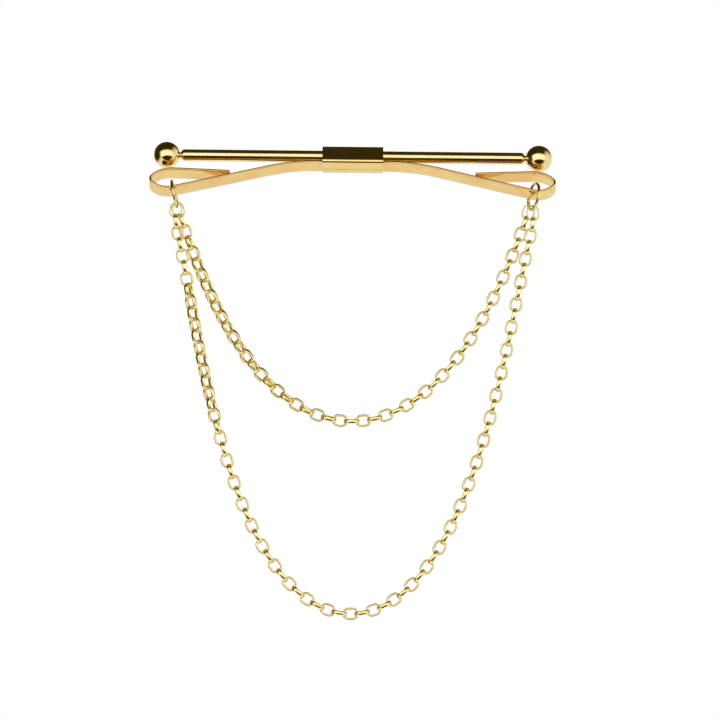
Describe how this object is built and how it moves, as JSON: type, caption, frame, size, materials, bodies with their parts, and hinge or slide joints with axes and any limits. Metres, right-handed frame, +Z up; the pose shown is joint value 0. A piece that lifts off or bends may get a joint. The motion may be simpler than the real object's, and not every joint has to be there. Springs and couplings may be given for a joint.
{
  "type": "collar bar",
  "caption": "Collar bar with a ball-ended bar and a bent spring leaf held together by a crimped sleeve, and a long and a short chain hanging between its ends.",
  "frame": {"origin": "middle of the bar, on its axis", "axes": "+X along the bar, +Z up so that the chains hang down -Z, -Y towards the viewer of the picture"},
  "size_m": [0.0612, 0.0076, 0.0718],
  "materials": {
    "bar_gold": "polished gold",
    "sleeve_gold": "polished gold",
    "leaf_gold": "polished gold",
    "ring_gold": "polished gold",
    "chain_gold": "polished gold"
  },
  "bodies": {
    "clip": {"bar": "bar_gold", "ball_left": "bar_gold", "ball_right": "bar_gold", "sleeve": "sleeve_gold", "leaf_middle": "leaf_gold"},
    "leaf_left": {"leaf_left": "leaf_gold"},
    "leaf_right": {"leaf_right": "leaf_gold"},
    "jump_ring_left": {"jump_ring_left": "ring_gold"},
    "jump_ring_right": {"jump_ring_right": "ring_gold"},
    "inner_chain": {"inner_chain_run_01": "chain_gold", "inner_chain_run_02": "chain_gold", "inner_chain_run_03": "chain_gold", "inner_chain_run_04": "chain_gold", "inner_chain_run_05": "chain_gold", "inner_chain_run_06": "chain_gold", "inner_chain_run_07": "chain_gold", "inner_chain_run_08": "chain_gold", "inner_chain_run_09": "chain_gold", "inner_chain_run_10": "chain_gold"},
    "outer_chain": {"outer_chain_run_01": "chain_gold", "outer_chain_run_02": "chain_gold", "outer_chain_run_03": "chain_gold", "outer_chain_run_04": "chain_gold", "outer_chain_run_05": "chain_gold", "outer_chain_run_06": "chain_gold", "outer_chain_run_07": "chain_gold", "outer_chain_run_08": "chain_gold", "outer_chain_run_09": "chain_gold", "outer_chain_run_10": "chain_gold", "outer_chain_run_11": "chain_gold", "outer_chain_run_12": "chain_gold", "outer_chain_run_13": "chain_gold", "outer_chain_run_14": "chain_gold", "outer_chain_run_15": "chain_gold", "outer_chain_run_16": "chain_gold"}
  },
  "joints": [
    {"name": "leaf_left_flex", "type": "hinge", "parent": "clip", "child": "leaf_left", "pos_m": [-0.00458, -0.00079, -0.00136], "axis": [0, -0.866, 0.5], "range_deg": [0, 1.5], "stiffness_Nm_per_rad": 0.76},
    {"name": "leaf_right_flex", "type": "hinge", "parent": "clip", "child": "leaf_right", "pos_m": [0.00458, -0.00079, -0.00136], "axis": [0, 0.866, -0.5], "range_deg": [0, 1.5], "stiffness_Nm_per_rad": 0.76},
    {"name": "inner_chain_swing", "type": "hinge", "parent": "clip", "child": "inner_chain", "pos_m": [-0.0268, -0.00337, -0.00584], "axis": [1, 0.0015, 0.0027], "range_deg": [-45, 12]},
    {"name": "outer_chain_swing", "type": "hinge", "parent": "inner_chain", "child": "outer_chain", "pos_m": [-0.0268, -0.00337, -0.00584], "axis": [1, 0.0015, 0.0027], "range_deg": [-15, 0]},
    {"name": "jump_ring_left_swing", "type": "hinge", "parent": "leaf_left", "child": "jump_ring_left", "pos_m": [-0.0268, -0.00337, -0.00584], "axis": [1, 0.0015, 0.0027], "range_deg": [-45, 12]},
    {"name": "jump_ring_right_swing", "type": "hinge", "parent": "leaf_right", "child": "jump_ring_right", "pos_m": [0.0273, -0.00329, -0.00569], "axis": [1, 0.0015, 0.0027], "range_deg": [-45, 12]}
  ],
  "couplings": [
    {"joint": "jump_ring_left_swing", "follows": "inner_chain_swing", "ratio": 1},
    {"joint": "jump_ring_right_swing", "follows": "inner_chain_swing", "ratio": 1}
  ]
}
